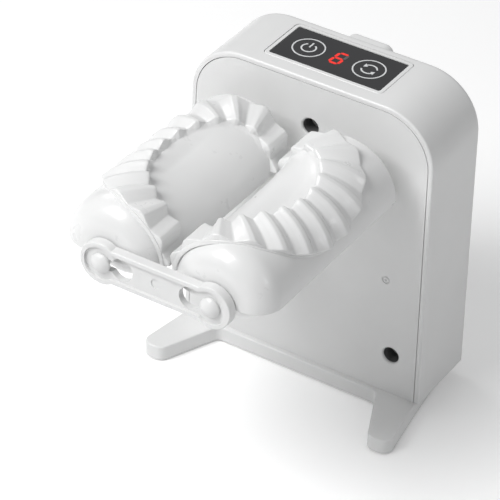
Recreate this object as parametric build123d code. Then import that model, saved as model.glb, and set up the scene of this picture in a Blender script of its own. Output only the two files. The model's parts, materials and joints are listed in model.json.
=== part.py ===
"""Electric dumpling press with two geared half-moon rollers, in millimetres, +Z up.

The front plate faces -Y and the rollers reach forward from it. The origin lies on the table,
under the middle of the whole object.
"""

from build123d import *
from math import atan, cos, pi, radians, sin, sqrt, tan
import os

# Housing: a tapered arch, open below and in front
base_top = 9.3
housing_top = 182.0
housing_depth = 49.2
half_width_top = 70.5
half_width_base = 72.9
corner_radius = 30.0
shell_wall = 2.6
plate_gap = 0.4
plate_thickness = 2.5
front_edge_round = 1.2
rear_edge_round = 4.0

# Base slab with two splayed feet
pad_proud = 1.0
pad_radius = 5.0
pad_recess = 1.2
foot_reach = 36.5
foot_tip_radius = 6.6
foot_tip_x = 70.2
foot_root_x = 49.0
base_side_x = 71.2
base_rear_x = 65.0
base_lip = 2.8
base_wall = 2.6
base_edge_round = 0.8
base_hollow_half = 36.0
base_screw_x = 44.0
base_screw_inset = 9.0
floor_thickness = 3.0
floor_boss_height = 9.0

# Rollers
axis_spacing = 62.0
axis_height = 140.0
roller_front = 133.4
roller_back = 14.5
body_radius = 28.4
relief_radius = 20.0
nose_round = 14.0
core_radius = 14.0
core_front_wall = 9.0
crimp_gap = 0.8
pleat_height = 2.8
arc_pleats = 11
leg_pleats = 1.5
crimp_middle = 71.0
crimp_outer = 56.0
crimp_inner = 39.6
crimp_outer_turn = 115.0
crimp_inner_turn = 62.0
crimp_centre = 134.0
crimp_end = 172.0
crimp_root = 24.0
bowl_depth = 5.5

# Roller hub, front pin and link bar
hub_thickness = 9.0
hub_flange = 1.5
hex_flats = 7.0
hex_clearance = 0.1
fit_clearance = 0.05
running_clearance = 0.2
pin_neck_radius = 3.0
pin_head_radius = 5.3
pin_head_rise = 2.4
pin_head_rim = 1.2
pin_spigot_length = 7.0
bar_back_gap = 0.7
bar_thickness = 5.0
bar_recess = 1.5
bar_rim = 2.4
bar_end_radius = 11.6
bar_waist = 9.6
key_hole_radius = 6.2
key_hole_x = 19.3
bar_dimple_radius = 2.7
bar_dimple_depth = 0.5
bar_edge_round = 0.7

# Gear train
gear_module = 2.0
gear_teeth = 31
pinion_teeth = 13
gear_front = 16.5
gear_width = 7.0
gear_backlash = 0.25
pressure_angle = 20.0
tooth_top = 0.9
tooth_root = 1.2
gear_web = 3.0
shaft_radius = 4.0
pinion_bore_radius = 2.0
bush_wall = 2.0
bush_flange = 1.2
collar_reach = 9.0
collar_radius = 12.0
chassis_front = 25.0
chassis_thickness = 2.5
chassis_low = 92.0
chassis_high = 170.0
chassis_half_width = 64.0
standoff_radius = 4.0
standoff_low = (58.0, 104.0)
standoff_high = (58.0, 166.5)
clip_thickness = 1.0
clip_gap = 2.0
clip_groove = 0.6

# Gearbox and motor
gearbox_width = 26.0
gearbox_low = 74.0
gearbox_high = 112.0
gearbox_depth = 17.0
gearbox_corner = 2.0
motor_width = 20.0
motor_depth = 15.1
motor_length = 25.0
motor_cap_length = 4.0
motor_terminal = 3.0

# Screw wells seen as deep round holes in the front plate
well_radius = 4.7
well_wall = 1.6
well_floor = 2.5
well_lead_in = 0.7
top_well_z = 154.3
top_well_depth = 12.0
low_well_x = 54.5
low_well_z = 33.4
low_well_depth = 24.0
gate_mark_x = 48.9
gate_mark_z = 79.8
gate_mark_radius = 2.4
gate_mark_depth = 0.6
screw_radius = 1.5
screw_head_radius = 2.8
screw_head_height = 2.0
screw_length = 8.0
screw_slot = 0.8
tab_width = 14.0
tab_thickness = 2.6

# Control panel let into the top
bezel_length = 69.6
bezel_width = 34.8
bezel_middle = 25.5
bezel_rim = 2.4
bezel_corner = 3.0
bezel_depth = 6.0
bezel_gap = 0.3
lens_thickness = 1.6
board_thickness = 1.6
board_drop = 7.0
display_length = 12.6
display_width = 19.0
digit_height = 11.0
digit_width = 6.4
digit_stroke = 1.4
digit_gap = 0.35
touch_spacing = 35.4
touch_pad_radius = 6.0
touch_wire_radius = 0.6

# Battery bay on the back
cell_radius = 9.2
cell_length = 65.0
cell_low = 98.0
bay_half_width = 13.4
bay_top = 176.6
bay_low = 90.0
bay_depth = 11.0
bay_corner = 5.0
tray_top = 170.4
bay_edge_round = 2.5
door_wall = 1.6
door_gap = 0.3
tray_wall = 1.6
contact_thickness = 0.8

# Charging socket low on the back
socket_width = 8.9
socket_height = 3.2
socket_length = 7.4
socket_wall = 0.3
socket_z = 30.0
socket_board_width = 22.0
socket_board_length = 14.0

# Where things stand
half_spacing = axis_spacing / 2
bar_back = roller_front + bar_back_gap
bar_front = bar_back + bar_thickness
bar_floor = bar_front - bar_recess
pin_head_back = bar_floor + running_clearance
reach = pin_head_back + pin_head_rim + pin_head_rise
front_face_y = (reach - housing_depth - bay_depth) / 2
inner_back = housing_depth - shell_wall
plate_inset = shell_wall + plate_gap
gear_pitch = gear_module * gear_teeth / 2
pinion_pitch = gear_module * pinion_teeth / 2
pinion_z = axis_height - gear_pitch - pinion_pitch
gear_back = gear_front + gear_width
chassis_back = chassis_front + chassis_thickness
crest_radius = half_spacing - crimp_gap / 2 + pleat_height / 2
valley_radius = crest_radius - pleat_height
lean = (half_width_base - half_width_top) / (housing_top - base_top)
cell_y = housing_depth + bay_depth - door_wall - door_gap - cell_radius
lens_top = housing_top - 0.3


def bar_y(radius, y0, y1, x=0.0, z=0.0):
    """A round bar along Y from y0 back to y1."""
    return Pos(x, (y0 + y1) / 2, z) * Rot(90, 0, 0) * Cylinder(radius, y1 - y0)


def bar_z(radius, z0, z1, x=0.0, y=0.0):
    """A round bar along Z from z0 up to z1."""
    return Pos(x, y, (z0 + z1) / 2) * Cylinder(radius, z1 - z0)


def block(x0, x1, y0, y1, z0, z1):
    """A box between two corners."""
    return Pos((x0 + x1) / 2, (y0 + y1) / 2, (z0 + z1) / 2) * Box(x1 - x0, y1 - y0, z1 - z0)


def slab(face, y0, y1):
    """A face drawn in X and Z, carried along Y from y0 back to y1."""
    return Pos(0, y1, 0) * extrude(Plane.XZ * face, amount=y1 - y0)


def side_x(z):
    """Half the housing's width at height z."""
    return half_width_top + lean * (housing_top - z)


def arch(inset, low):
    """The housing's outline in X and Z, moved in by inset and cut level at low."""
    top = housing_top - inset
    side_inset = inset * sqrt(1 + lean * lean)
    wide = side_x(low) - side_inset
    narrow = side_x(top) - side_inset
    outline = Polygon((-wide, low), (wide, low), (narrow, top), (-narrow, top), align=None)
    return fillet(outline.vertices().filter_by(lambda v: v.Y > top - 1), corner_radius - inset)


def bay_outline(inset, top=bay_top):
    """The battery bay's outline on the back wall, moved in by inset."""
    height = top - bay_low - 2 * inset
    outline = RectangleRounded(2 * (bay_half_width - inset), height, bay_corner - inset)
    return Pos(0, (top + bay_low) / 2) * outline


def panel_block(inset, z0, z1, corner):
    """An upright block with the control panel's outline, moved in by inset."""
    outline = RectangleRounded(bezel_length - 2 * inset, bezel_width - 2 * inset, corner)
    return Pos(0, bezel_middle, z0) * extrude(outline, z1 - z0)


# Housing

def rear_shell():
    """The arch with its back wall, panel window, battery window and screw posts."""
    outer = slab(arch(0, base_top), 0, housing_depth)
    rims = outer.edges().filter_by(lambda e: e.bounding_box().max.Z > base_top + 1)
    front = rims.filter_by(lambda e: e.bounding_box().max.Y < 0.01)
    outer = fillet(front, front_edge_round)
    rims = outer.edges().filter_by(lambda e: e.bounding_box().max.Z > base_top + 1)
    back = rims.filter_by(lambda e: e.bounding_box().min.Y > housing_depth - 0.01)
    outer = fillet(back, rear_edge_round)
    shell = outer - slab(arch(shell_wall, base_top - 1), -1, inner_back)
    shell -= panel_block(0, housing_top - shell_wall - 1, housing_top + 1, bezel_corner)
    window = bay_outline(door_wall + door_gap - fit_clearance, tray_top)
    shell -= slab(window, inner_back - 1, housing_depth + 1)
    port = SlotOverall(socket_width + 2 * door_gap, socket_height + 2 * door_gap)
    shell -= slab(Pos(0, socket_z) * port, inner_back - 1, housing_depth + 1)
    for side in (-1, 1):
        x = side * low_well_x
        shell += bar_y(well_radius, low_well_depth, inner_back + 0.5, x, low_well_z)
        shell -= bar_y(screw_radius, low_well_depth - 1, inner_back - 6, x, low_well_z)
    shell += screw_tab()
    shell -= bar_y(screw_radius, top_well_depth - 1, top_well_depth + tab_thickness + 1, 0, top_well_z)
    return shell


def screw_tab():
    """The stepped tab under the roof that the plate's top screw bites into."""
    top = housing_top - shell_wall + 0.5
    step_low = top_well_z + well_radius + well_wall + 0.6
    half = tab_width / 2
    hanger_front = plate_thickness + 0.6
    tab_back = top_well_depth + tab_thickness
    hanger = block(-half, half, hanger_front, hanger_front + tab_thickness, step_low, top)
    shelf = block(-half, half, hanger_front, tab_back, step_low, step_low + tab_thickness)
    drop = block(-half, half, top_well_depth, tab_back, top_well_z - 5, step_low + tab_thickness)
    return hanger + shelf + drop


def well(x, z, depth):
    """A closed tube behind the plate that sinks a screw's head, and what is cut from it."""
    tube = bar_y(well_radius + well_wall, 0.5, depth, x, z)
    lead = Cone(well_radius, well_radius + well_lead_in, well_lead_in)
    hole = bar_y(well_radius, -1, depth - well_floor, x, z)
    hole += Pos(x, well_lead_in / 2, z) * Rot(90, 0, 0) * lead
    hole += bar_y(screw_radius + running_clearance, 0, depth + 1, x, z)
    return tube, hole


def front_plate():
    """The flat front with its screw wells, roller collars and chassis standoffs."""
    plate = slab(arch(plate_inset, base_top), 0, plate_thickness)
    wells = [well(0, top_well_z, top_well_depth)]
    wells += [well(side * low_well_x, low_well_z, low_well_depth) for side in (-1, 1)]
    for tube, _ in wells:
        plate += tube
    for side in (-1, 1):
        x = side * half_spacing
        collar = bar_y(collar_radius, -collar_reach, plate_thickness, x, axis_height)
        plate += fillet(collar.edges().filter_by(lambda e: e.center().Y < -1), 1.2)
        for px, pz in (standoff_low, standoff_high):
            plate += bar_y(standoff_radius, 0.5, chassis_front, side * px, pz)
            plate -= bar_y(screw_radius, chassis_front - 8, chassis_front + 1, side * px, pz)
        plate -= bar_y(shaft_radius + bush_wall, -20, 20, x, axis_height)
    for _, hole in wells:
        plate -= hole
    mark = bar_y(gate_mark_radius, -1, gate_mark_depth, gate_mark_x, gate_mark_z)
    mark -= bar_y(gate_mark_radius - 0.9, -2, 1, gate_mark_x, gate_mark_z)
    mark += bar_y(0.45, -1, gate_mark_depth, gate_mark_x, gate_mark_z)
    return plate - mark


def base_outline():
    """The slab seen from above: a front edge between two splayed feet, narrower at the back."""
    back = housing_depth - 1.0
    inner_tip = (foot_tip_x - foot_tip_radius, -foot_reach)
    outer_tip = (foot_tip_x + foot_tip_radius, -foot_reach)
    points = [(foot_root_x, -base_lip), inner_tip, outer_tip, (base_side_x, 0), (base_rear_x, back)]
    mirrored = [(-x, y) for x, y in reversed(points)]
    outline = Polygon(*points, *mirrored, align=None)
    tips = outline.vertices().filter_by(lambda v: v.Y < 1 - foot_reach)
    outline = fillet(tips, foot_tip_radius - 1.0)
    roots = outline.vertices().filter_by(lambda v: abs(v.Y + base_lip) < 0.01)
    outline = fillet(roots, 4.0)
    return fillet(outline.vertices().filter_by(lambda v: v.Y > back - 0.01), 6.0)


def pad_places():
    """Centres of the four rubber pads."""
    front = foot_tip_radius + 2.5 - foot_reach
    back = housing_depth - 12.0
    places = [(side * foot_tip_x, front) for side in (-1, 1)]
    return places + [(side * (base_rear_x - 9), back) for side in (-1, 1)]


def base_screw_places():
    """Centres of the screws that hold the base, two in front and two behind."""
    rows = (base_screw_inset, housing_depth - base_screw_inset)
    return [(side * base_screw_x, y) for side in (-1, 1) for y in rows]


def base_stand():
    """The slab under the housing, hollow below, with screw holes and pad recesses."""
    base = Pos(0, 0, pad_proud) * extrude(base_outline(), base_top - pad_proud)
    rim = base.edges().filter_by(lambda e: e.bounding_box().min.Z > base_top - 0.01)
    base = fillet(rim, base_edge_round)
    half = base_hollow_half
    hollow = block(-half, half, 6, housing_depth - 6, pad_proud - 1, base_top - base_wall)
    base -= fillet(hollow.edges().filter_by(Axis.Z), 4)
    for x, y in pad_places():
        base -= bar_z(pad_radius, pad_proud - 1, pad_proud + pad_recess, x, y)
    for x, y in base_screw_places():
        base -= bar_z(screw_radius + running_clearance, 0, base_top + 1, x, y)
        sink = pad_proud + screw_head_height + 0.5
        base -= bar_z(screw_head_radius + running_clearance, 0, sink, x, y)
    return base


def floor_plate():
    """The inner floor plate that closes the housing and takes the base screws."""
    inner = side_x(base_top) - shell_wall - 0.6
    high = base_top + floor_thickness
    floor = block(-inner, inner, plate_thickness + 0.3, inner_back - 0.2, base_top, high)
    for x, y in base_screw_places():
        floor += bar_z(standoff_radius, base_top, base_top + floor_boss_height, x, y)
        floor -= bar_z(screw_radius, base_top - 1, base_top + floor_boss_height - 1, x, y)
    return floor


def foot_pads():
    """Four round rubber pads that stand a little proud of the base."""
    pads = []
    for x, y in pad_places():
        pad = bar_z(pad_radius, 0, pad_proud + pad_recess, x, y)
        pads.append(fillet(pad.edges().filter_by(lambda e: e.center().Z < 0.01), 0.4))
    return pads


def screw(length):
    """A pan-head screw with a cross slot, head up, with its seat at zero."""
    head = Pos(0, 0, screw_head_height / 2) * Cylinder(screw_head_radius, screw_head_height)
    head = fillet(head.edges().filter_by(lambda e: e.center().Z > 1), 0.7)
    for turn in (0, 90):
        head -= Pos(0, 0, screw_head_height) * Rot(0, 0, turn) * Box(3.4, screw_slot, 2.0)
    return head + Pos(0, 0, -length / 2) * Cylinder(screw_radius, length)


def plate_screws():
    """The three screws at the bottom of the plate's wells."""
    one = Rot(90, 0, 0) * screw(well_floor + 3)
    screws = [Pos(0, top_well_depth - well_floor, top_well_z) * one]
    longer = Rot(90, 0, 0) * screw(well_floor + screw_length)
    for side in (-1, 1):
        screws.append(Pos(side * low_well_x, low_well_depth - well_floor, low_well_z) * longer)
    return screws


def base_screws():
    """Four screws from below through the base into the housing's floor."""
    seat = pad_proud + screw_head_height + 0.5
    one = Rot(180, 0, 0) * screw(base_top - seat + screw_length - 1)
    return [Pos(x, y, seat) * one for x, y in base_screw_places()]


# Control panel

def panel_bezel():
    """The raised frame round the black window, with a ledge that the lens sits on."""
    low = housing_top - bezel_depth
    frame = panel_block(bezel_gap, low, housing_top, bezel_corner - bezel_gap)
    rim = frame.edges().filter_by(lambda e: e.bounding_box().min.Z > housing_top - 0.01)
    frame = fillet(rim, 0.5)
    opening = panel_block(bezel_rim, lens_top - lens_thickness, housing_top + 1, 1.2)
    through = panel_block(bezel_rim + 1.6, low - 1, housing_top + 1, 0.8)
    roof = housing_top - shell_wall
    flange = panel_block(-2.0, roof - 1.4, roof, bezel_corner)
    return (frame + flange) - opening - through


def panel_lens():
    """The flush black window over the keys and the display."""
    lens = panel_block(bezel_rim + 0.1, lens_top - lens_thickness, lens_top, 1.1)
    return fillet(lens.edges().filter_by(lambda e: e.bounding_box().min.Z > lens_top - 0.01), 0.3)


def display_digit():
    """The seven lit bars of the digit, standing on the display's face."""
    top = lens_top - lens_thickness
    half = digit_height / 2
    long_bar = Box(digit_stroke, half - digit_stroke - 2 * digit_gap, 0.6)
    cross_bar = Box(digit_width - digit_stroke - 2 * digit_gap, digit_stroke, 0.6)
    across = (digit_width - digit_stroke) / 2
    bars = [Pos(0, row * (half - digit_stroke / 2), 0) * cross_bar for row in (-1, 0, 1)]
    bars += [Pos(s * across, row * half / 2, 0) * long_bar for s in (-1, 1) for row in (-1, 1)]
    return [Pos(0, bezel_middle, top - 0.3) * bar for bar in bars]


def display_module():
    """The moulded block that carries the digit, between the board and the lens."""
    top = lens_top - lens_thickness - 0.6
    low = housing_top - board_drop
    half_x = display_length / 2
    half_y = display_width / 2
    module = block(-half_x, half_x, bezel_middle - half_y, bezel_middle + half_y, low, top)
    return chamfer(module.edges().filter_by(lambda e: e.bounding_box().min.Z > top - 0.01), 0.4)


def touch_springs():
    """Two coil springs that carry the touch keys' signal from the board to the window."""
    top = lens_top - lens_thickness
    low = housing_top - board_drop
    springs = []
    for side in (-1, 1):
        coil = Pos(side * touch_spacing / 2, bezel_middle, 0)
        ring = bar_z(touch_pad_radius, top - 1.0, top)
        stem = bar_z(touch_pad_radius - 1.2, low, top - 1.0)
        stem -= bar_z(touch_pad_radius - 1.2 - touch_wire_radius, low - 1, top - 1.0)
        springs.append(coil * (ring + stem))
    return springs


def control_board():
    """The circuit board under the panel, hung from the bezel by two screws' bosses."""
    top = housing_top - board_drop
    board = panel_block(bezel_rim, top - board_thickness, top, 2.0)
    under = top - board_thickness
    chip = block(-12, -4, bezel_middle - 4, bezel_middle + 4, under - 1.2, under)
    plug = block(6, 16, bezel_middle + 5, bezel_middle + 11, under - 5, under)
    return board + chip + plug


def board_posts():
    """Four short posts that tie the board to the bezel's ledge."""
    top = housing_top - bezel_depth
    low = housing_top - board_drop
    spots = [(sx * 30.0, bezel_middle + sy * 13.4) for sx in (-1, 1) for sy in (-1, 1)]
    return [bar_z(1.2, low, top, x, y) for x, y in spots]


# Gear train

def gear(teeth, bore, web):
    """A spur gear about Z from 0 up to gear_width, one tooth pointing along +X."""
    pitch = gear_module * teeth / 2
    tip = pitch + tooth_top * gear_module
    root = pitch - tooth_root * gear_module
    base = pitch * cos(radians(pressure_angle))
    half_tooth = pi / (2 * teeth) - gear_backlash / (4 * pitch)
    spread = half_tooth + tan(radians(pressure_angle)) - radians(pressure_angle)

    def flank(radius):
        if radius <= base:
            return spread
        roll = sqrt((radius / base) ** 2 - 1)
        return spread - (roll - atan(roll))

    radii = [root - 0.2] + [max(root, base) + (tip - max(root, base)) * i / 4 for i in range(5)]
    side = [(r * cos(flank(r)), r * sin(flank(r))) for r in radii]
    outline = Polygon(*[(x, -y) for x, y in side], *reversed(side), align=None)
    tooth = extrude(outline, gear_width, dir=(0, 0, 1))
    body = Pos(0, 0, gear_width / 2) * Cylinder(root, gear_width)
    for k in range(teeth):
        body += Rot(0, 0, 360 * k / teeth) * tooth
    if web:
        sunk = gear_width - web
        hollow = Cylinder(root - 3, sunk) - Cylinder(bore + 4, sunk)
        body -= Pos(0, 0, gear_width - sunk / 2) * hollow
        for k in range(6):
            body -= Rot(0, 0, 60 * k) * Pos(pitch * 0.58, 0, 0) * Cylinder(5.0, 4 * gear_width)
    return body - Cylinder(bore, 4 * gear_width)


def place_gear(body, x, z, turn=0.0):
    """A gear stood on the layer behind the plate, turned about its own axis."""
    return Pos(x, gear_back, z) * Rot(90, 0, 0) * Rot(0, 0, turn) * body


def hexagon(flats):
    """A hexagon by its width across flats."""
    return RegularPolygon(flats / sqrt(3), 6, rotation=30)


def drive_shaft(side):
    """A steel shaft with a hexagonal nose that carries one roller."""
    x = side * half_spacing
    start = hub_flange + 0.5 - roller_back
    shaft = bar_y(shaft_radius, start, chassis_back + 4, x, axis_height)
    nose = slab(Pos(x, axis_height) * hexagon(hex_flats), 1.5 - roller_back - hub_thickness, start)
    clip_back = chassis_back + clip_gap
    groove = ring_y(shaft_radius - clip_groove, shaft_radius + 1, clip_back, clip_back + clip_thickness, x)
    return shaft + nose - groove


def ring_y(inner, outer, y0, y1, x):
    """A ring about a roller's axis."""
    return bar_y(outer, y0, y1, x, axis_height) - bar_y(inner, y0 - 1, y1 + 1, x, axis_height)


def shaft_clip(side):
    """The circlip in the shaft's groove behind the chassis."""
    x = side * half_spacing
    start = chassis_back + clip_gap
    clip = ring_y(shaft_radius - clip_groove, shaft_radius + 2, start, start + clip_thickness, x)
    return clip - block(x - 1.6, x + 1.6, start - 1, start + 2, axis_height - 8, axis_height - 2)


def bush(side, y0, y1, flange_back):
    """A flanged bush between a shaft and its seat, the flange at the end nearer the gear."""
    x = side * half_spacing
    sleeve = ring_y(shaft_radius + fit_clearance, shaft_radius + bush_wall, y0, y1, x)
    f0 = y1 if flange_back else y0 - bush_flange
    flange = ring_y(shaft_radius + fit_clearance, shaft_radius + bush_wall + 2, f0, f0 + bush_flange, x)
    return sleeve + flange


def gear_chassis():
    """The plate behind the gears that carries the rear bushes and the gearbox."""
    height = chassis_high - chassis_low
    outline = RectangleRounded(2 * chassis_half_width, height, 6)
    plate = slab(Pos(0, (chassis_high + chassis_low) / 2) * outline, chassis_front, chassis_back)
    for side in (-1, 1):
        plate -= bar_y(shaft_radius + bush_wall, 20, 40, side * half_spacing, axis_height)
        for px, pz in (standoff_low, standoff_high):
            plate -= bar_y(screw_radius + running_clearance, 20, 40, side * px, pz)
    plate -= bar_y(pinion_bore_radius + 1.0, 20, 40, -half_spacing, pinion_z)
    return plate


def chassis_screws():
    """Four screws from behind through the chassis into the plate's standoffs."""
    one = Rot(-90, 0, 0) * screw(chassis_thickness + 5)
    spots = [(side * px, pz) for side in (-1, 1) for px, pz in (standoff_low, standoff_high)]
    return [Pos(px, chassis_back, pz) * one for px, pz in spots]


def motor_pinion():
    """The small gear under the left roller's gear, on the gearbox's output shaft."""
    mesh = 90.0
    turn = mesh + 180.0 / pinion_teeth
    big_phase = (mesh - 180.0) * gear_teeth / pinion_teeth
    body = gear(pinion_teeth, pinion_bore_radius, 0)
    return place_gear(body, -half_spacing, pinion_z, turn + big_phase)


def pinion_shaft():
    """The gearbox's output shaft, turning with the pinion."""
    return bar_y(pinion_bore_radius, gear_front, chassis_back + 4, -half_spacing, pinion_z)


def gearbox_case():
    """The worm gearbox screwed to the chassis, with a blind bearing hole for its shaft."""
    x0 = -half_spacing - gearbox_width / 2
    x1 = x0 + gearbox_width
    case = block(x0, x1, chassis_back, chassis_back + gearbox_depth, gearbox_low, gearbox_high)
    case = fillet(case.edges(), gearbox_corner / 2)
    bore = pinion_bore_radius + fit_clearance
    return case - bar_y(bore, chassis_back - 1, chassis_back + 8, -half_spacing, pinion_z)


def drive_motor():
    """The flat-sided motor below the gearbox, with a plastic end cap and two terminals."""
    y_mid = chassis_back + gearbox_depth / 2
    can = RectangleRounded(motor_width, motor_depth, 4.5)
    low = gearbox_low - motor_length
    return Pos(-half_spacing, y_mid, low) * extrude(can, motor_length)


def motor_cap():
    """The motor's end cap with its terminals."""
    y_mid = chassis_back + gearbox_depth / 2
    low = gearbox_low - motor_length - motor_cap_length
    outline = RectangleRounded(motor_width - 1, motor_depth - 1, 4)
    cap = Pos(-half_spacing, y_mid, low) * extrude(outline, motor_cap_length)
    for side in (-1, 1):
        x = -half_spacing + side * 5
        cap += block(x - 1.2, x + 1.2, y_mid - 0.3, y_mid + 0.3, low - motor_terminal, low + 1)
    return cap


# Rollers

def on_roller(radius, turn, along):
    """A point on a roller: radius, degrees up from its outward side, and distance forward."""
    return Vector(radius * cos(radians(turn)), -along, radius * sin(radians(turn)))


def half_body(radius, nose, lower):
    """Half of a roller blank, rounded at the front, above or below its axis."""
    corners = [(0, -roller_front), (radius, -roller_front), (radius, -roller_back), (0, -roller_back)]
    profile = Polygon(*corners, align=None)
    profile = fillet(profile.vertices().filter_by(lambda v: v.X > 1 and v.Y < -100), nose)
    blank = revolve(profile, Axis.Y, 180)
    return blank if lower else Rot(0, 180, 0) * blank


def crimp_line(half_length, arc_turn, part):
    """Turn and distance forward at a share of the way round the crimp, from end to end."""
    legs = leg_pleats / (arc_pleats + 2 * leg_pleats)
    if part < legs:
        return crimp_end + (crimp_centre - crimp_end) * part / legs, crimp_middle + half_length
    if part > 1 - legs:
        return crimp_end + (crimp_centre - crimp_end) * (1 - part) / legs, crimp_middle - half_length
    swing = pi * (part - legs) / (1 - 2 * legs)
    return crimp_centre - arc_turn * sin(swing), crimp_middle + half_length * cos(swing)


def arc_on_roller(radius, start, end):
    """The edge between two places on a roller at one radius."""
    middle = [(a + b) / 2 for a, b in zip(start, end)]
    first = on_roller(radius, *start)
    last = on_roller(radius, *end)
    if abs(start[0] - end[0]) < 0.01:
        return Line(first, last)
    return ThreePointArc(first, on_roller(radius, *middle), last)


def crimp(first_is_crest):
    """The pleated rim: a ruled skin over tall and short sections set round the half-moon."""
    steps = round(2 * (arc_pleats + 2 * leg_pleats))
    sections = []
    for step in range(steps + 1):
        outside = crimp_line(crimp_outer, crimp_outer_turn, step / steps)
        inside = crimp_line(crimp_inner, crimp_inner_turn, step / steps)
        tall = (step % 2 == 0) == first_is_crest
        radius = crest_radius if tall else valley_radius
        top = arc_on_roller(radius, outside, inside)
        root = arc_on_roller(crimp_root, outside, inside)
        outer_wall = Line(root @ 0, top @ 0)
        inner_wall = Line(top @ 1, root @ 1)
        sections.append(Wire([Edge(e.wrapped) for e in (top, inner_wall, root, outer_wall)]))
    return Solid.make_loft(sections, ruled=True)


def bowl():
    """The hollow inside the crimp: deepest near the arc and shallow at the nip."""
    sections = []
    turns = [73, 80, 92, 106, 120, 134, 148, 162, 176]
    depths = [0.12, 0.6, 0.95, 1.0, 0.9, 0.75, 0.55, 0.35, 0.15]
    for turn, share in zip(turns, depths):
        fall = min(1.0, (crimp_centre - turn) / (crimp_inner_turn + 0.6)) if turn < crimp_centre else 0.0
        half = crimp_inner * sqrt(1 - fall * fall)
        left = on_roller(body_radius, turn, crimp_middle - half)
        right = on_roller(body_radius, turn, crimp_middle + half)
        floor = ThreePointArc(left, on_roller(body_radius - bowl_depth * share, turn, crimp_middle), right)
        high_left = on_roller(body_radius + 9, turn, crimp_middle - half)
        high_right = on_roller(body_radius + 9, turn, crimp_middle + half)
        edges = (floor, Line(right, high_right), Line(high_right, high_left), Line(high_left, left))
        sections.append(Wire([Edge(e.wrapped) for e in edges]))
    return Solid.make_loft(sections)


def roller_body(side):
    """One hollow roller with its bowl and crimp, made for the right and mirrored for the left."""
    body = half_body(body_radius, nose_round, False) + half_body(relief_radius, nose_round - 2, True)
    body -= bowl()
    body += crimp(side < 0)
    body -= bar_y(core_radius, core_front_wall - roller_front, 0)
    body -= bar_y(pin_neck_radius, -roller_front - 1, pin_spigot_length - roller_front)
    if side < 0:
        body = mirror(body, Plane.YZ)
    return Pos(side * half_spacing, 0, axis_height) * body


def roller_hub(side):
    """The plug in the roller's back with a hexagonal socket for the shaft's nose."""
    x = side * half_spacing
    plug = bar_y(core_radius, -roller_back - hub_thickness, -roller_back, x, axis_height)
    plug += bar_y(core_radius + 4, -roller_back, hub_flange - roller_back, x, axis_height)
    opening = Pos(x, axis_height) * hexagon(hex_flats + 2 * hex_clearance)
    socket = slab(opening, -roller_back - hub_thickness - 1, 0)
    return plug - socket


def link_pin(side):
    """The domed stud in the roller's nose that the link bar hangs on."""
    x = side * half_spacing
    pin = bar_y(pin_neck_radius, -pin_head_back, pin_spigot_length - roller_front, x, axis_height)
    sphere_radius = (pin_head_radius ** 2 + pin_head_rise ** 2) / (2 * pin_head_rise)
    dome = Pos(x, sphere_radius - reach, axis_height) * Sphere(sphere_radius)
    dome &= bar_y(pin_head_radius, -reach, -pin_head_back - pin_head_rim, x, axis_height)
    rim = bar_y(pin_head_radius, -pin_head_back - pin_head_rim, -pin_head_back, x, axis_height)
    return pin + rim + dome


def bar_outline(inset):
    """The link bar's outline: two round ends joined by a slightly narrower waist."""
    ends = [Pos(s * half_spacing, 0) * Circle(bar_end_radius - inset) for s in (-1, 1)]
    waist = Rectangle(axis_spacing, 2 * (bar_waist - inset))
    shape = ends[0] + ends[1] + waist
    return shape


def link_bar():
    """The bar across the rollers' noses, with a raised rim and a keyhole for each pin."""
    bar = slab(bar_outline(0), -bar_front, -bar_back)
    rim_edges = bar.edges().filter_by(lambda e: e.bounding_box().max.Y < 0.01 - bar_front)
    bar = fillet(rim_edges, bar_edge_round)
    bar -= slab(bar_outline(bar_rim), -bar_front - 1, -bar_floor)
    neck = pin_neck_radius + running_clearance
    for side in (-1, 1):
        cut = Pos(side * half_spacing, 0) * Circle(neck)
        cut += Pos(side * key_hole_x, 0) * Circle(key_hole_radius)
        slot_middle = side * (half_spacing + key_hole_x) / 2
        cut += Pos(slot_middle, 0) * Rectangle(half_spacing - key_hole_x, 2 * neck)
        bar -= slab(cut, -bar_front - 1, -bar_back + 1)
    bar -= bar_y(bar_dimple_radius, -bar_floor - 1, bar_dimple_depth - bar_floor)
    return Pos(0, 0, axis_height) * bar


# Battery bay and charging socket

def battery_door():
    """The rounded cover on the back that bulges over the battery."""
    door = slab(bay_outline(0), housing_depth, housing_depth + bay_depth)
    rim = door.edges().filter_by(lambda e: e.bounding_box().min.Y > housing_depth + bay_depth - 0.01)
    door = fillet(rim, bay_edge_round)
    hollow = slab(bay_outline(door_wall), housing_depth - 1, housing_depth + bay_depth - door_wall)
    return door - hollow


def battery_tray():
    """The open box inside the back wall that holds the battery."""
    front = cell_y - cell_radius - door_gap - tray_wall
    outer = slab(bay_outline(door_wall + door_gap, tray_top), front, housing_depth + 1)
    inner = bay_outline(door_wall + door_gap + tray_wall, tray_top)
    flange = slab(bay_outline(0, tray_top), inner_back - 1.4, inner_back)
    return outer + flange - slab(inner, front + tray_wall, housing_depth + 2)


def battery_cell():
    """The round cell standing in the bay, with a raised button on top."""
    cell = bar_z(cell_radius, cell_low, cell_low + cell_length, 0, cell_y)
    cell = fillet(cell.edges(), 0.8)
    return cell + bar_z(3.0, cell_low + cell_length - 1, cell_low + cell_length + 1, 0, cell_y)


def battery_contacts():
    """A spring plate below the cell and a flat plate above it."""
    inset = door_wall + door_gap + tray_wall
    low = bay_low + inset
    high = tray_top - inset
    plates = []
    bottom = block(-6, 6, cell_y - 6, cell_y + 6, low, low + contact_thickness)
    bottom += Pos(0, cell_y, low) * extrude(Circle(5) - Circle(3.6), cell_low - low)
    top = block(-6, 6, cell_y - 6, cell_y + 6, high - contact_thickness, high)
    top += bar_z(2.5, cell_low + cell_length + 1, high - contact_thickness, 0, cell_y)
    plates.append(bottom)
    plates.append(top)
    return plates


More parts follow.
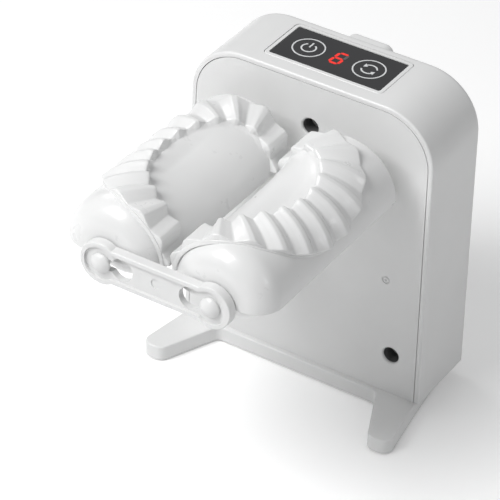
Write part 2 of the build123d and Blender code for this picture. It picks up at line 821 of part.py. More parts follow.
def charge_socket():
    """The small charging socket that shows in the back wall."""
    back = housing_depth - 0.4
    outer = slab(Pos(0, socket_z) * SlotOverall(socket_width, socket_height), back - socket_length, back)
    core = SlotOverall(socket_width - 2 * socket_wall, socket_height - 2 * socket_wall)
    outer -= slab(Pos(0, socket_z) * core, back - socket_length + 1, back + 1)
    tongue = block(-3.2, 3.2, back - socket_length + 0.5, back - 1, socket_z - 0.35, socket_z + 0.35)
    return outer + tongue


def charge_board():
    """The small board under the socket, standing on a rib from the floor."""
    top = socket_z - socket_height / 2
    half = socket_board_width / 2
    back = inner_back - 0.4
    return block(-half, half, back - socket_board_length, back, top - board_thickness, top)


def charge_rib():
    """The rib that carries the charging board above the floor plate."""
    top = socket_z - socket_height / 2 - board_thickness
    back = inner_back - 0.4
    low = base_top + floor_thickness
    rib = block(-9, 9, back - 12, back - 10, low, top)
    return rib + block(-9, 9, back - 3, back - 1, low, top)


def build_nodes():
    """Every sub-part by its node name, in the housing's frame."""
    nodes = {
        "base_stand": base_stand(),
        "floor_plate": floor_plate(),
        "rear_shell": rear_shell(),
        "front_plate": front_plate(),
        "panel_bezel": panel_bezel(),
        "panel_lens": panel_lens(),
        "display_module": display_module(),
        "control_board": control_board(),
        "gear_chassis": gear_chassis(),
        "gearbox_case": gearbox_case(),
        "drive_motor": drive_motor(),
        "motor_cap": motor_cap(),
        "motor_pinion": motor_pinion(),
        "pinion_shaft": pinion_shaft(),
        "link_bar": link_bar(),
        "battery_door": battery_door(),
        "battery_tray": battery_tray(),
        "battery_cell": battery_cell(),
        "charge_socket": charge_socket(),
        "charge_board": charge_board(),
        "charge_rib": charge_rib(),
    }
    groups = {
        "foot_pads": foot_pads(),
        "plate_screws": plate_screws(),
        "base_screws": base_screws(),
        "chassis_screws": chassis_screws(),
        "display_digit": display_digit(),
        "touch_springs": touch_springs(),
        "board_posts": board_posts(),
        "battery_contacts": battery_contacts(),
    }
    for name, pieces in groups.items():
        nodes[name] = Compound(children=[Part(p.wrapped) for p in pieces])
    wheel = gear(gear_teeth, shaft_radius, gear_web)
    for side, word in ((-1, "left"), (1, "right")):
        x = side * half_spacing
        nodes[word + "_roller"] = roller_body(side)
        nodes[word + "_roller_hub"] = roller_hub(side)
        nodes[word + "_link_pin"] = link_pin(side)
        nodes[word + "_drive_shaft"] = drive_shaft(side)
        nodes[word + "_drive_gear"] = place_gear(wheel, x, axis_height)
        nodes[word + "_shaft_clip"] = shaft_clip(side)
        nodes[word + "_front_bush"] = bush(side, -collar_reach, plate_thickness, True)
        nodes[word + "_rear_bush"] = bush(side, chassis_front, chassis_back, False)
    return nodes


os.makedirs("parts", exist_ok=True)
for name, shape in build_nodes().items():
    moved = Pos(0, front_face_y, 0) * shape
    moved.label = name
    export_step(moved, f"parts/{name}.step")
    print(name)
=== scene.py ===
import bpy
import json
from math import asin, cos, pi, radians, sin, sqrt
from mathutils import Matrix, Vector


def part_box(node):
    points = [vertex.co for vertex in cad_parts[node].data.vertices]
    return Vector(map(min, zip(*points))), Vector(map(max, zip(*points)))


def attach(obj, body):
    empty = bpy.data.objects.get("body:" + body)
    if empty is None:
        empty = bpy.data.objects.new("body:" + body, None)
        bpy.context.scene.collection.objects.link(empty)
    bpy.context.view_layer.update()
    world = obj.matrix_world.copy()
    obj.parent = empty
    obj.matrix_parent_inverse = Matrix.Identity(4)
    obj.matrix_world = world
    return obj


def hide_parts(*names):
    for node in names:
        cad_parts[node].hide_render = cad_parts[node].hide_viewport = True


# %% [markdown]
# This scene dresses an electric dumpling press. The housing, the base, the link bar and all that is
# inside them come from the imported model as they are. The two pleated rollers are made again here as
# smooth skins, because their folds are what the eye goes to, and the panel gets its printed marks.
# Lengths are in metres, so a size that is thought of in millimetres is written with MM behind it.

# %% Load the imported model
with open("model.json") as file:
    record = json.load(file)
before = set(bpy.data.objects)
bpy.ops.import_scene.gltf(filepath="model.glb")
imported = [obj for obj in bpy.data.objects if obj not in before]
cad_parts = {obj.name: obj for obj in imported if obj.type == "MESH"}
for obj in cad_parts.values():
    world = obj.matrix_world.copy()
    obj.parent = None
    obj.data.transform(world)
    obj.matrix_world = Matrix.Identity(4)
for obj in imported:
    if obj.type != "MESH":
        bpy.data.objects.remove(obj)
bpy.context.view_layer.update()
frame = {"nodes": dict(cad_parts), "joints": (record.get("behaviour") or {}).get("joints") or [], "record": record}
MM = 0.001
joints = {joint["name"]: joint for joint in frame["joints"]}
left_axis = Vector(joints["left_roller_turn"]["pos_m"])
right_axis = Vector(joints["right_roller_turn"]["pos_m"])
plate_y = right_axis.y

# %% [markdown]
# The photograph was taken from the front right and from above, with a long lens, so upright edges
# stay almost parallel. The camera is placed from its bearing, height angle and tilt, and from how far
# it stands from a point near the middle of the object.

# %% Camera
camera_bearing = radians(31.39)
camera_height = radians(35.75)
camera_tilt = radians(2.0)
camera_target = Vector((-32.65 * MM, plate_y, 65.03 * MM))
camera_distance = 1.4854
camera_lens = 204.13

back = Vector((
    sin(camera_bearing) * cos(camera_height),
    -cos(camera_bearing) * cos(camera_height),
    sin(camera_height),
))
level = Vector((0, 0, 1)).cross(back).normalized()
upright = back.cross(level)
right = level * cos(camera_tilt) + upright * sin(camera_tilt)
up = upright * cos(camera_tilt) - level * sin(camera_tilt)
place = camera_target + back * camera_distance
bpy.ops.object.select_all(action="DESELECT")
bpy.ops.object.camera_add(location=place)
camera = bpy.context.object
turn = Matrix((right, up, back)).transposed().to_4x4()
camera.matrix_world = Matrix.Translation(place) @ turn
camera.data.lens = camera_lens
camera.data.sensor_width = 36.0
camera.data.clip_end = 20.0
bpy.context.scene.camera = camera
bpy.context.scene.view_settings.view_transform = "Standard"
print("camera at", [round(part, 3) for part in place])

# %% [markdown]
# The light is that of a plain white studio: a wide soft lamp high on the left for the form, a small
# weak one from the right for the gloss of the side wall, another from behind that draws the rear
# edges, and an even pale world that fills the shadows. The floor is a large plane that takes the
# object's soft shadow. Each lamp is given by its bearing and height angle in degrees, its distance
# and size in metres, and its power in watts.

# %% Floor and lamps
bpy.ops.object.select_all(action="DESELECT")
bpy.ops.mesh.primitive_plane_add(size=8.0)
floor = bpy.context.object
floor.name = "studio_floor"


def lamp(name, bearing, height, distance, size, power):
    """A square soft lamp that looks at the middle of the object."""
    bearing, height = radians(bearing), radians(height)
    away = Vector((sin(bearing) * cos(height), -cos(bearing) * cos(height), sin(height)))
    middle = Vector((0, 0, 0.1))
    bpy.ops.object.select_all(action="DESELECT")
    bpy.ops.object.light_add(type="AREA", location=middle + away * distance)
    light = bpy.context.object
    light.name = name
    light.data.shape = "SQUARE"
    light.data.size = size
    light.data.energy = power
    light.rotation_euler = away.to_track_quat("Z", "Y").to_euler()
    return light


lamp("key_lamp", -30, 50, 1.6, 0.8, 20)
lamp("side_lamp", 86, 24, 1.9, 0.3, 1.5)
lamp("rim_lamp", -115, 35, 1.7, 0.5, 2.5)

world = bpy.data.worlds.new("studio_world")
world.use_nodes = True
sky = world.node_tree.nodes["Background"]
sky.inputs["Color"].default_value = (0.98, 0.985, 0.99, 1)
sky.inputs["Strength"].default_value = 0.38
bpy.context.scene.world = world

# %% [markdown]
# A material in Blender is a graph of nodes. Two small helpers keep the graphs readable. Value wraps a
# socket, so that sums and products of patterns can be written as ordinary arithmetic, and Finish owns
# one material, adds any node by its type and settings, and hands the results to the shader.

# %% Shader helpers
class Value:
    """An output socket that does arithmetic by adding Math nodes."""

    def __init__(self, finish, socket):
        self.finish = finish
        self.socket = socket

    def _math(self, operation, first, second):
        return self.finish.node("ShaderNodeMath", {"operation": operation}, {0: first, 1: second})

    def __add__(self, other):
        return self._math("ADD", self, other)

    def __radd__(self, other):
        return self._math("ADD", other, self)

    def __mul__(self, other):
        return self._math("MULTIPLY", self, other)

    def __rmul__(self, other):
        return self._math("MULTIPLY", other, self)


class Finish:
    """One material, with its Principled shader and the nodes that feed it."""

    def __init__(self, name, **constants):
        self.material = bpy.data.materials.new(name)
        self.material.use_nodes = True
        self.tree = self.material.node_tree
        self.shader = self.tree.nodes["Principled BSDF"]
        for socket, number in constants.items():
            self.shader.inputs[socket.replace("_", " ")].default_value = number

    def node(self, kind, settings=None, inputs=None, output=0):
        """Adds a node, sets it, feeds it values or links, and wraps the output asked for."""
        made = self.tree.nodes.new(kind)
        for name, setting in (settings or {}).items():
            if name == "stops":
                self.set_stops(made.color_ramp, setting)
            else:
                setattr(made, name, setting)
        for name, feed in (inputs or {}).items():
            if isinstance(feed, Value):
                self.tree.links.new(feed.socket, made.inputs[name])
            else:
                made.inputs[name].default_value = feed
        return Value(self, made.outputs[output])

    @staticmethod
    def set_stops(ramp, stops):
        """Gives a colour ramp its stops, each a place and a colour."""
        while len(ramp.elements) < len(stops):
            ramp.elements.new(1.0)
        for element, (position, color) in zip(ramp.elements, stops):
            element.position = position
            element.color = color

    def noise(self, scale, detail=2.0, rough=0.5):
        """Noise over the object's own metres, from 0 to 1."""
        here = self.node("ShaderNodeTexCoord", output="Object")
        inputs = {"Vector": here, "Scale": scale, "Detail": detail, "Roughness": rough}
        return self.node("ShaderNodeTexNoise", None, inputs, "Fac")

    def shades(self, mask, dark, light):
        """A colour between two shades, chosen by a mask."""
        stops = [(0.3, (*dark, 1)), (0.7, (*light, 1))]
        return self.node("ShaderNodeValToRGB", {"stops": stops}, {"Fac": mask}, "Color")

    def either(self, mask, first, second):
        """The first grey where the mask is 0 and the second where it is 1.

        A Mix node has sockets for numbers, vectors and colours side by side. Its colours are the
        inputs 6 and 7 and the output 2.
        """
        greys = {0: mask, 6: (first, first, first, 1), 7: (second, second, second, 1)}
        return self.node("ShaderNodeMix", {"data_type": "RGBA"}, greys, 2)

    def bump(self, height, depth, strength=1.0):
        """A surface relief of the given depth in metres."""
        inputs = {"Height": height, "Distance": depth, "Strength": strength}
        return self.node("ShaderNodeBump", None, inputs, "Normal")

    def feed(self, **links):
        """Links results to the shader's sockets and returns the material."""
        for socket, value in links.items():
            self.tree.links.new(value.socket, self.shader.inputs[socket.replace("_", " ")])
        return self.material


print("helpers", Value.__name__, Finish.__name__)

# %% [markdown]
# Almost all that shows is glossy white moulded plastic. What keeps it from looking like plain paint
# is a very slight waviness from the mould, a gloss that varies from place to place, and a white that
# isn't quite even. The three noises are at the scale of a hand, of a fingertip and of a grain.

# %% White moulded plastic
hand_scale = 18.0
fingertip_scale = 90.0
grain_scale = 1400.0
gloss_spread = 0.10
grain_share = 0.006


def white_plastic(name, dark, light, gloss, wave_depth):
    finish = Finish(name, Coat_Weight=0.25, IOR=1.5)
    cloud = finish.noise(hand_scale, 3.0)
    smudge = finish.noise(fingertip_scale, 4.0, 0.6)
    grain = finish.noise(grain_scale, 2.0)
    return finish.feed(
        Base_Color=finish.shades(cloud, dark, light),
        Roughness=gloss + gloss_spread * smudge,
        Normal=finish.bump(cloud + grain_share * grain, wave_depth),
    )


housing_white = white_plastic("housing_white", (0.74, 0.742, 0.74), (0.78, 0.782, 0.78), 0.30, 0.4 * MM)
roller_white = white_plastic("roller_white", (0.76, 0.762, 0.76), (0.80, 0.802, 0.80), 0.24, 0.3 * MM)
print("white plastics", housing_white.name, roller_white.name)

# %% [markdown]
# The rest of the finishes are small recipes of the same kind: a base shade broken by a mottle, and
# a roughness and a relief that follow a finer grain. Each recipe names its two shades, its least
# roughness, the scale of its mottle and the depth of its relief. Metal gets fine scratches by
# stretching the noise along two axes.

# %% Other finishes
grain_to_mottle = 12


def plain_finish(name, dark, light, gloss, scale, relief, **constants):
    finish = Finish(name, **constants)
    mottle = finish.noise(scale, 3.0)
    grain = finish.noise(scale * grain_to_mottle, 2.0)
    return finish.feed(
        Base_Color=finish.shades(mottle, dark, light),
        Roughness=gloss + 0.15 * grain,
        Normal=finish.bump(grain, relief),
    )


def grey_finish(name, dark, light, gloss, scale, relief):
    """A plain finish between two neutral greys."""
    return plain_finish(name, (dark, dark, dark), (light, light, light), gloss, scale, relief)


def brushed_metal(name, dark, light):
    finish = Finish(name, Metallic=1.0)
    here = finish.node("ShaderNodeTexCoord", output="Object")
    stretched = finish.node("ShaderNodeMapping", None, {"Vector": here, "Scale": (4000, 300, 300)})
    inputs = {"Vector": stretched, "Scale": 1.0, "Detail": 3.0}
    streaks = finish.node("ShaderNodeTexNoise", None, inputs, "Fac")
    return finish.feed(
        Base_Color=finish.shades(streaks, dark, light),
        Roughness=0.25 + 0.2 * streaks,
        Normal=finish.bump(streaks, 0.02 * MM),
    )


window_dark = (0.012, 0.012, 0.014)
window_light = (0.016, 0.016, 0.018)
film_relief = 0.002 * MM
window_black = plain_finish(
    "window_black", window_dark, window_light, 0.04, 60.0, film_relief, Coat_Weight=0.6
)
printed_white = plain_finish(
    "printed_white", (0.66, 0.67, 0.68), (0.72, 0.73, 0.74), 0.35, 800.0, film_relief
)
rubber_grey = grey_finish("rubber_grey", 0.09, 0.14, 0.7, 500.0, 0.06 * MM)
inner_black = grey_finish("inner_black", 0.02, 0.035, 0.5, 300.0, 0.03 * MM)
board_green = plain_finish("board_green", (0.02, 0.12, 0.05), (0.03, 0.17, 0.07), 0.3, 300.0, 0.03 * MM)
inner_white = plain_finish("inner_white", (0.58, 0.58, 0.56), (0.66, 0.66, 0.64), 0.5, 200.0, 0.03 * MM)
gear_cream = plain_finish("gear_cream", (0.66, 0.63, 0.55), (0.74, 0.71, 0.63), 0.4, 150.0, 0.02 * MM)
cell_blue = plain_finish("cell_blue", (0.03, 0.12, 0.33), (0.05, 0.16, 0.4), 0.25, 120.0, 0.01 * MM)
steel = brushed_metal("steel_plain", (0.42, 0.42, 0.43), (0.62, 0.62, 0.63))
brass = brushed_metal("brass_turned", (0.62, 0.45, 0.2), (0.76, 0.58, 0.3))
print("finishes so far", len(bpy.data.materials))


# %% [markdown]
# The studio floor has to look white behind the object, yet a floor that bright would throw so much
# light up that the walls lost their shading. So the floor is white to the camera and in reflections,
# and a shade darker to the light that it scatters back. A little glow thins its shadow.

# %% Floor finish
floor_finish = Finish("floor_white", Roughness=0.7, Emission_Strength=1.0)
seen = floor_finish.node("ShaderNodeLightPath", output="Is Camera Ray")
mirrored = floor_finish.node("ShaderNodeLightPath", output="Is Glossy Ray")
shown = floor_finish.node("ShaderNodeMath", {"operation": "MAXIMUM"}, {0: seen, 1: mirrored})
floor_tone = floor_finish.either(shown, 0.8, 0.97)
floor_lift = floor_finish.either(shown, 0.0, 0.16)
floor.data.materials.append(floor_finish.feed(Base_Color=floor_tone, Emission_Color=floor_lift))
print("floor finish", floor.data.materials[0].name)

# %% [markdown]
# Lit segments shine by themselves, a little unevenly, and an unlit one is a dull grey shape behind
# the black window.

# %% Display finishes
def glowing(name, color, strength):
    finish = Finish(name, Base_Color=(0.2, 0.01, 0.01, 1), Roughness=0.35, Emission_Strength=strength)
    flicker = finish.noise(700.0, 2.0)
    dim = tuple(0.75 * part for part in color)
    return finish.feed(Emission_Color=finish.shades(flicker, dim, color))


segment_lit = glowing("segment_lit", (1.0, 0.035, 0.02), 0.9)
segment_unlit = plain_finish(
    "segment_unlit", (0.10, 0.09, 0.09), (0.13, 0.12, 0.12), 0.4, 700.0, film_relief
)
print("segments", segment_lit.name, segment_unlit.name)

# %% [markdown]
# Every node of the imported model carries the name of a material slot in the record, so one table from
# slot to finish dresses them all. Their faces are loose triangles.

# %% Dress the imported nodes
slot_finish = {
    "white_gloss": housing_white,
    "black_window": window_black,
    "red_lit": segment_lit,
    "black_matte": inner_black,
    "board_green": board_green,
    "grey_rubber": rubber_grey,
    "inner_plastic": inner_white,
    "inner_dark": inner_black,
    "gear_acetal": gear_cream,
    "steel": steel,
    "cell_wrap": cell_blue,
    "bush_brass": brass,
}
for entry in frame["record"]["subparts"]:
    node = frame["nodes"][entry["node"]]
    node.data.materials.clear()
    node.data.materials.append(slot_finish[entry["material_slot"]])


# %% [markdown]
# New pieces start as a primitive that is shaped in edit mode. The helpers below start from a clean
# selection, name the piece, put its place into its mesh, and give it its finish and its body, so that
# it rides along when the rollers turn.

# %% Modelling helpers
merge_distance = 0.02 * MM


def start_clean():
    """Nothing selected and no edit mode, so that an operator acts on the new piece alone."""
    if bpy.context.object and bpy.context.object.mode == "EDIT":
        bpy.ops.object.mode_set(mode="OBJECT")
    bpy.ops.object.select_all(action="DESELECT")


def settle(name, finish, body, slot):
    """Finishes the piece in hand: its place goes into its mesh, and it rides on its body."""
    piece = bpy.context.object
    piece.name = name
    piece.data.name = name
    bpy.ops.object.transform_apply(location=True, rotation=True, scale=True)
    piece.data.materials.clear()
    piece.data.materials.append(finish)
    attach(piece, body)
    return piece


def shape_grid(columns, rows, place_of):
    """A grid primitive whose every crossing is carried to its place by a formula.

    Crossings that land on each other are merged, holes that are left are filled, and all faces are
    turned outwards.
    """
    start_clean()
    bpy.ops.mesh.primitive_grid_add(x_subdivisions=columns, y_subdivisions=rows, size=2.0)
    grid = bpy.context.object
    for vertex in grid.data.vertices:
        across = (vertex.co.x + 1) / 2
        along = (vertex.co.y + 1) / 2
        vertex.co = place_of(round(across * columns), round(along * rows))
    bpy.ops.object.mode_set(mode="EDIT")
    bpy.ops.mesh.select_all(action="SELECT")
    bpy.ops.mesh.remove_doubles(threshold=merge_distance)
    bpy.ops.mesh.select_all(action="DESELECT")
    bpy.ops.mesh.select_non_manifold()
    bpy.ops.mesh.fill_holes(sides=0)
    bpy.ops.mesh.select_all(action="SELECT")
    bpy.ops.mesh.normals_make_consistent(inside=False)
    bpy.ops.object.mode_set(mode="OBJECT")
    return grid


print("helpers", start_clean.__name__, settle.__name__, shape_grid.__name__)

# %% [markdown]
# A roller is half a mould. Seen from its end it is a round bar whose lower half is cut back, and its
# front end is a soft dome. On its upper side lies the half-moon: a shallow bowl for the filling, and
# round it a crimp of radial folds. One roller has its crests where the other has its valleys, so the
# folds mesh as the rollers turn. Places on a roller are given by a turn in degrees, up from the
# outward side, and a distance forward of the plate, because the half-moon is wrapped round the bar.
# The sizes are in millimetres, those named turn, centre or end are in degrees, and pleats are counts.

# %% Roller sizes
roller_front = 133.4
roller_back = 14.5
body_radius = 28.4
nose_round = 14.0
back_round = 0.6
hub_radius = 15.0
relief_radius = 20.0
relief_front = 127.6
crimp_middle = 71.0
crimp_outer = 56.0
crimp_inner = 39.6
outer_turn = 115.0
inner_turn = 62.0
crimp_centre = 134.0
crimp_end = 172.0
arc_pleats = 11
leg_pleats = 1.5
crest_radius = 32.0
pleat_height = 2.8


def on_roller(side, radius, turn, forward):
    """A place on a roller, in metres. Side is 1 for the right roller and -1 for the left."""
    axis = right_axis if side > 0 else left_axis
    angle = radians(turn)
    across = side * radius * cos(angle) * MM
    return Vector((axis.x + across, plate_y - forward * MM, axis.z + radius * sin(angle) * MM))


print("rollers", round((right_axis.x - left_axis.x) / MM, 1), "mm apart, bar radius", body_radius, "mm")

# %% [markdown]
# The blank is a grid wrapped round the axis. Its columns go round: a small rounded corner, the upper
# half, another corner, and the lower half, which is smaller and ends sooner. Its rows go along: out
# from the hub over the back face, round its edge, along the bar, round the dome and to the middle of
# the nose. The bowl is pressed in where both fall within the half-moon, deepest near the arc and
# fading towards the line where the rollers meet. Its lip drops by a wall's height first.

# %% Roller blank with its bowl
bowl_depth = 4.2
bowl_rise_turn = 24.0
bowl_rise_power = 0.6
bowl_fade_start = 100.0
bowl_fade_turn = 82.0
bowl_fade_share = 0.9
lip_drop = 1.5
lip_length = 1.5
lip_turn = 12.0
corner_cuts = [(0.0, 1.3), (0.25, 0.7), (0.8, 0.25), (1.6, 0.0)]
bar_steps = 100
dome_steps = 20
face_steps = 4


def smooth_step(value):
    value = min(1.0, max(0.0, value))
    return value * value * (3 - 2 * value)


def bowl_drop(turn, forward):
    """How far the bowl is pressed in at a place, in millimetres."""
    fall = max(0.0, (crimp_centre - turn) / inner_turn)
    if fall >= 1 or turn > 180:
        return 0.0
    half = crimp_inner * sqrt(1 - fall * fall)
    off = (forward - crimp_middle) / half
    if abs(off) >= 1:
        return 0.0
    rise = smooth_step((turn - crimp_centre + inner_turn) / bowl_rise_turn) ** bowl_rise_power
    fade = 1 - bowl_fade_share * smooth_step((turn - bowl_fade_start) / bowl_fade_turn)
    lip = smooth_step((1 - abs(off)) * half / lip_length) * smooth_step((180 - turn) / lip_turn)
    return bowl_depth * rise * fade * (1 - off * off) + lip_drop * lip * fade


def blank_columns():
    """Turn, radius, nose rounding and front end of each column, once round the bar."""
    upper = [(turn, body_radius - cut) for turn, cut in corner_cuts]
    upper += [(turn, body_radius) for turn in range(2, 179)]
    upper += [(180 - turn, body_radius - cut) for turn, cut in reversed(corner_cuts)]
    columns = [(turn, radius, nose_round, roller_front) for turn, radius in upper]
    columns += [(turn, relief_radius, relief_radius, relief_front) for turn in range(180, 361, 2)]
    return columns + [columns[0]]


def blank_rows():
    """Each row as a stretch and how far it has gone: back face, edge, bar, dome, nose."""
    rows = [("back", step / face_steps) for step in range(face_steps)]
    rows += [("edge", step / face_steps) for step in range(face_steps + 1)]
    rows += [("bar", step / bar_steps) for step in range(1, bar_steps + 1)]
    rows += [("dome", step / dome_steps) for step in range(1, dome_steps + 1)]
    rows += [("nose", step / face_steps) for step in range(1, face_steps + 1)]
    return rows


def blank_place(side, column, row):
    """Where one crossing of the blank's grid goes."""
    turn, radius, rounding, front = column
    stretch, share = row
    swing = share * pi / 2
    if stretch == "back":
        rim = radius - back_round
        return on_roller(side, hub_radius + (rim - hub_radius) * share, turn, roller_back)
    if stretch == "edge":
        out = radius - back_round + back_round * sin(swing)
        return on_roller(side, out, turn, roller_back + back_round - back_round * cos(swing))
    if stretch == "bar":
        start = roller_back + back_round
        forward = start + (front - rounding - start) * share
        return on_roller(side, radius - bowl_drop(turn, forward), turn, forward)
    if stretch == "dome":
        forward = front - rounding + rounding * sin(swing)
        return on_roller(side, radius - rounding + rounding * cos(swing), turn, forward)
    return on_roller(side, (radius - rounding) * (1 - share), turn, front)


def roller_blank(side, body):
    columns = blank_columns()
    rows = blank_rows()

    def place_of(i, j):
        return blank_place(side, columns[i], rows[j])

    piece = shape_grid(len(columns) - 1, len(rows) - 1, place_of)
    bpy.ops.object.shade_smooth_by_angle(angle=radians(35))
    settle(body + "_skin", roller_white, body, "white_gloss")
    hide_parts(body)
    return piece


print("blank grid", len(blank_columns()), "by", len(blank_rows()), "crossings")

# %% [markdown]
# The crimp is a second grid. Its columns run along the half-moon, from one leg round the arc to the
# other leg, and its rows go across the rim: over a thin foot that lies on the bar, up the outer wall,
# inwards over the fold, and down the inner wall into the bowl. The folds are one wave along the
# columns. It is nearly a zigzag, because the real folds have narrow ridges and sharp valleys. Each
# row is a share of the way in from the outer line to the inner one, and a drop below the fold's top,
# or for the foot below the foot's own top. The last row is the first again, which closes the ring.
# With its shape known, both rollers are made, each blank followed by its crimp.

# %% Crimp
pleats = round(arc_pleats + 2 * leg_pleats)
columns_per_pleat = 24
fold_ridge = 0.99
ridge_slope = 1.4
inner_swing = 0.5
foot_radius = 28.95
foot_share = -0.035
foot_edge = 0.012
foot_rows = [
    (foot_share, 2.0), (foot_share, 0.25), (foot_share + foot_edge, 0.0), (-foot_edge, 0.0), (0.0, 0.0),
]
fold_rows = [
    (0.0, 0.45), (0.008, 0.15), (0.025, 0.03), (0.06, 0.0), (0.25, 0.0), (0.45, 0.0), (0.65, 0.0),
    (0.88, 0.0), (0.95, 0.06), (0.985, 0.25), (1.0, 0.6), (1.0, 7.5), (0.5, 8.5),
]
crimp_rows = foot_rows + fold_rows + [foot_rows[0]]


def crimp_line(half_length, arc_turn, part):
    """Turn and distance forward at a share of the way round the crimp."""
    legs = leg_pleats / pleats
    if part < legs:
        return crimp_end + (crimp_centre - crimp_end) * part / legs, crimp_middle + half_length
    if part > 1 - legs:
        return crimp_end + (crimp_centre - crimp_end) * (1 - part) / legs, crimp_middle - half_length
    swing = pi * (part - legs) / (1 - 2 * legs)
    return crimp_centre - arc_turn * sin(swing), crimp_middle + half_length * cos(swing)


def fold_wave(side, part):
    """1 on a crest and -1 in a valley, with a narrow flat ridge and a sharp valley."""
    zigzag = -side * asin(fold_ridge * cos(2 * pi * pleats * part)) / asin(fold_ridge)
    return min(1.0, ridge_slope * zigzag) if zigzag > 0 else zigzag


def crimp_place(side, i, j):
    """Where one crossing of the crimp's grid goes. The inner line swings a little with the folds."""
    part = i / (pleats * columns_per_pleat)
    wave = fold_wave(side, part)
    share, drop = crimp_rows[j]
    outside = crimp_line(crimp_outer, outer_turn, part)
    inside = crimp_line(crimp_inner - inner_swing * wave, inner_turn - 2 * inner_swing * wave, part)
    turn = outside[0] + (inside[0] - outside[0]) * share
    forward = outside[1] + (inside[1] - outside[1]) * share
    on_foot = j < len(foot_rows) or j == len(crimp_rows) - 1
    top = foot_radius if on_foot else crest_radius - pleat_height / 2 * (1 - wave)
    return on_roller(side, top - drop, turn, forward)


def roller_crimp(side, body):
    def place_of(i, j):
        return crimp_place(side, i, j)

    shape_grid(pleats * columns_per_pleat, len(crimp_rows) - 1, place_of)
    bpy.ops.object.shade_smooth_by_angle(angle=radians(50))
    return settle(body + "_crimp", roller_white, body, "white_gloss")


for side, body in ((-1, "left_roller"), (1, "right_roller")):
    blank = roller_blank(side, body)
    crimp = roller_crimp(side, body)
    print(body, len(blank.data.polygons), "faces in the blank,", len(crimp.data.polygons), "in the crimp")

# %% [markdown]
# The three screws of the front plate sit at the bottom of deep round wells, which look dark from
# outside. Each well gets a thin dark liner, which is painted shade for the inside of the well: a cylinder with no
# caps, with a wall given by Solidify.
# The places follow from the screws' own node: one screw is at the top in the middle, and the other
# two are at the lower corners of the node's box.

# %% Painted shade liners in the wells
shade_liner_radius = 4.62 * MM
shade_liner_wall = 0.15 * MM
shade_liner_start = 1.4 * MM
shade_liner_length = 7.4 * MM
screw_low, screw_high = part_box("plate_screws")
screw_head_radius = 2.8 * MM
well_places = [
    (0.0, screw_high.z - screw_head_radius),
    (screw_low.x + screw_head_radius, screw_low.z + screw_head_radius),
    (screw_high.x - screw_head_radius, screw_low.z + screw_head_radius),
]


def painted_well_shade(number, x, z):
    start_clean()
    middle = plate_y + shade_liner_start + shade_liner_length / 2
    bpy.ops.mesh.primitive_cylinder_add(
        vertices=64, radius=shade_liner_radius, depth=shade_liner_length, end_fill_type="NOTHING",
        location=(x, middle, z), rotation=(pi / 2, 0, 0),
    )
    wall = bpy.context.object.modifiers.new("wall", "SOLIDIFY")
    wall.thickness = shade_liner_wall
    bpy.ops.object.modifier_apply(modifier="wall")
    bpy.ops.object.shade_smooth_by_angle(angle=radians(30))
    # The liner borrows the rubber finish's dark grey, as painted shade for the inside of the well.
    return settle(f"painted_well_shade_{number}", rubber_grey, "housing", "grey_rubber")


for number, (x, z) in enumerate(well_places):
    painted_well_shade(number, x, z)
print("wells at", [(round(x / MM, 1), round(z / MM, 1)) for x, z in well_places])

# %% [markdown]
# The control panel is a black window with two touch keys, each a printed white ring with a sign in
# it, and one red digit between them. The marks are thin plates on the window, thick enough to show
# and too thin to feel. Each starts as a flat primitive and is given its thickness by extruding.

# %% Panel measures
window_low, window_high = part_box("panel_lens")
window_top = window_high.z
window_y = (window_low.y + window_high.y) / 2
key_x = 17.7 * MM
ring_radius = 8.75 * MM
ring_width = 0.75 * MM
print_height = 0.08 * MM


def raise_flat(height):
    """Gives the flat piece in hand its thickness, upwards."""
    bpy.ops.object.mode_set(mode="EDIT")
    bpy.ops.mesh.select_all(action="SELECT")
    bpy.ops.mesh.extrude_region_move(TRANSFORM_OT_translate={"value": (0, 0, height)})
    bpy.ops.mesh.select_all(action="SELECT")
    bpy.ops.mesh.normals_make_consistent(inside=False)
    bpy.ops.object.mode_set(mode="OBJECT")


def printed_ring(name, x, y, radius, width):
    """A flat ring: a filled circle, inset by the ring's width, with its middle taken out."""
    start_clean()
    spot = (x, y, window_top)
    bpy.ops.mesh.primitive_circle_add(vertices=96, radius=radius, fill_type="NGON", location=spot)
    bpy.ops.object.mode_set(mode="EDIT")
    bpy.ops.mesh.select_all(action="SELECT")
    bpy.ops.mesh.inset(thickness=width, depth=0)
    bpy.ops.mesh.delete(type="FACE")
    raise_flat(print_height)
    return settle(name, printed_white, "housing", "white_gloss")


def printed_shape(name, points, finish, slot):
    """A flat shape: a circle primitive whose corners are moved to the outline's points."""
    start_clean()
    bpy.ops.mesh.primitive_circle_add(vertices=len(points), radius=1, fill_type="NGON")
    shape = bpy.context.object
    for vertex, (x, y) in zip(shape.data.vertices, points):
        vertex.co = (x, y, window_top)
    raise_flat(print_height)
    return settle(name, finish, "housing", slot)


def arc_strip(x, y, radius, width, start, stop, steps=28):
    """The outline of a bent strip, as points round its outside and back round its inside."""
    angles = [radians(start + (stop - start) * step / steps) for step in range(steps + 1)]
    outside = [(x + radius * cos(a), y + radius * sin(a)) for a in angles]
    inner = radius - width
    inside = [(x + inner * cos(a), y + inner * sin(a)) for a in reversed(angles)]
    return outside + inside


print("window top at", round(window_top / MM, 2), "mm")

# %% [markdown]
# The left key starts and stops the press, so it has the usual sign for power: an open ring and a
# short bar. The right key changes the way of working, and has two bent arrows that chase each other.

# %% Key signs
for side, word in ((-1, "left"), (1, "right")):
    printed_ring(word + "_key_ring", side * key_x, window_y, ring_radius, ring_width)

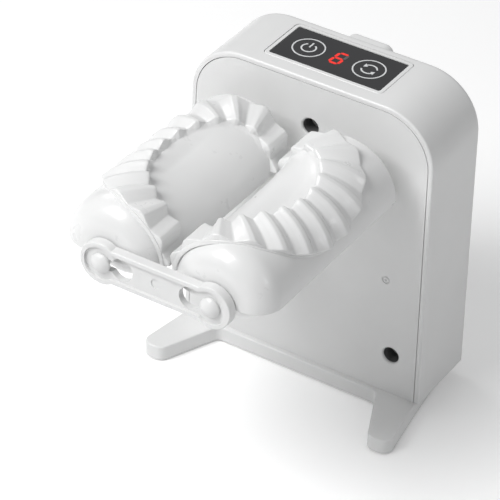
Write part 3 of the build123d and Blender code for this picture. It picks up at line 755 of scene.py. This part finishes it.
sign_width = 0.85 * MM
half_width = sign_width / 2
power_radius = 4.2 * MM
power_opening = 70
power_points = arc_strip(
    -key_x, window_y, power_radius, sign_width, 90 + power_opening / 2, 450 - power_opening / 2
)
printed_shape("power_sign_arc", power_points, printed_white, "white_gloss")
bar_low = window_y + 0.6 * MM
bar_high = window_y + 5.2 * MM
power_bar = [
    (-key_x - half_width, bar_low), (-key_x + half_width, bar_low),
    (-key_x + half_width, bar_high), (-key_x - half_width, bar_high),
]
printed_shape("power_sign_bar", power_bar, printed_white, "white_gloss")

arrow_radius = 4.4 * MM
arrow_sweep = 115
arrow_head_sweep = 35
arrow_head_half = 1.5 * MM
arrow_line = arrow_radius - half_width
for number, base in enumerate((20, 200)):
    strip = arc_strip(key_x, window_y, arrow_radius, sign_width, base, base + arrow_sweep)
    printed_shape(f"turn_sign_arc_{number}", strip, printed_white, "white_gloss")
    root = radians(base + arrow_sweep)
    tip = radians(base + arrow_sweep + arrow_head_sweep)
    corners = ((arrow_line + arrow_head_half, root), (arrow_line, tip), (arrow_line - arrow_head_half, root))
    head = [(key_x + reach * cos(angle), window_y + reach * sin(angle)) for reach, angle in corners]
    printed_shape(f"turn_sign_head_{number}", head, printed_white, "white_gloss")
print("keys", round(2 * key_x / MM, 1), "mm apart")

# %% [markdown]
# The digit is the usual figure of seven bars with pointed ends, here showing six, so the upper right
# bar is unlit. All bars are one outline, stood up or laid down, and sheared a little to the right.

# %% Digit
digit_height = 11.6 * MM
digit_width = 6.6 * MM
bar_width = 1.5 * MM
bar_gap = 0.25 * MM
digit_lean = 0.10


def digit_bar(name, x, y, length, upright, finish, slot):
    """One bar of the digit, with pointed ends, leaning with the digit."""
    half_length = length / 2 - bar_gap
    half_width = bar_width / 2
    flat = half_length - half_width
    outline = [
        (-half_length, 0), (-flat, -half_width), (flat, -half_width),
        (half_length, 0), (flat, half_width), (-flat, half_width),
    ]
    points = [(v, u) if upright else (u, v) for u, v in outline]
    if upright:
        points = list(reversed(points))
    placed = [(x + u + digit_lean * (y + v), window_y + y + v) for u, v in points]
    return printed_shape(name, placed, finish, slot)


row_step = (digit_height - bar_width) / 2
column = (digit_width - bar_width) / 2
for number, row in enumerate((-1, 0, 1)):
    digit_bar(f"digit_level_{number}", 0, row * row_step, 2 * column, False, segment_lit, "red_lit")
for side, word in ((-1, "left"), (1, "right")):
    for row, height in ((-1, "low"), (1, "high")):
        unlit = word == "right" and height == "high"
        finish = segment_unlit if unlit else segment_lit
        name = f"digit_{word}_{height}"
        digit_bar(name, side * column, row * row_step / 2, row_step, True, finish, "red_lit")
print("digit", round(digit_height / MM, 1), "mm high")
